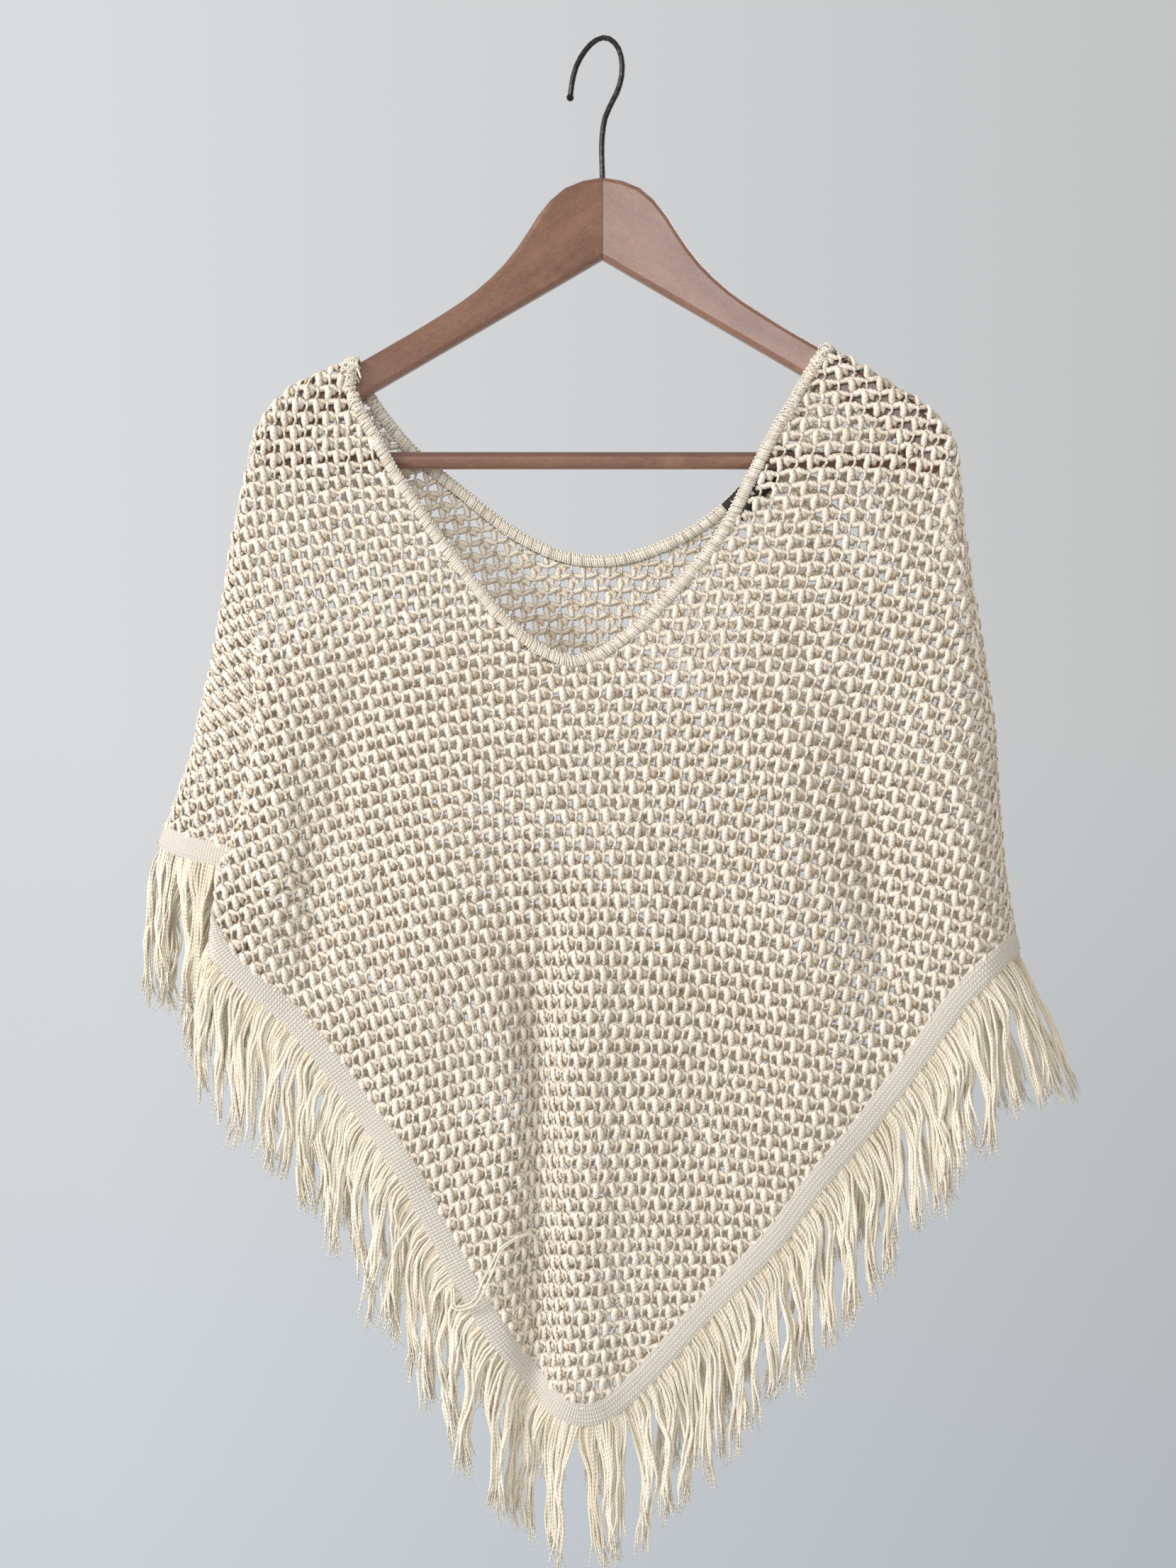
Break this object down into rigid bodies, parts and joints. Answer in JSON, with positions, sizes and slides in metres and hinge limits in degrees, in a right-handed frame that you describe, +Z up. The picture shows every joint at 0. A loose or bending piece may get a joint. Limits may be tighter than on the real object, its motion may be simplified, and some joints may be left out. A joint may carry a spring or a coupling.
{
  "type": "knitted poncho on a clothes hanger",
  "caption": "Openwork knitted poncho with a V neck, taped pointed hem and long fringe, hanging on a curved wooden hanger with a wire hook.",
  "frame": {"origin": "inner top of the hanger's hook, where it rests on a rail", "axes": "+Z up along the hanger's wire, +X to the right of someone facing the front of the poncho, +Y from the front to the back"},
  "size_m": [0.5997, 0.0929, 0.9706],
  "materials": {
    "cotton_knit": "cream cotton yarn in an open net knit",
    "cotton_edging": "cream cotton jersey tape, crocheted edging and twisted fringe",
    "label_black": "plain black woven label",
    "hanger_wood": "worn satin reddish brown lacquer",
    "hook_wire": "black lacquered steel wire"
  },
  "bodies": {
    "root": {"front_panel": "cotton_knit", "back_panel": "cotton_knit", "neck_band_front": "cotton_edging", "neck_band_back": "cotton_edging", "hem_fringe_front": "cotton_edging", "hem_fringe_back": "cotton_edging", "neck_label": "label_black", "hanger_arm_left": "hanger_wood", "hanger_arm_right": "hanger_wood", "hanger_bar": "hanger_wood", "hanger_hook": "hook_wire"}
  },
  "joints": []
}
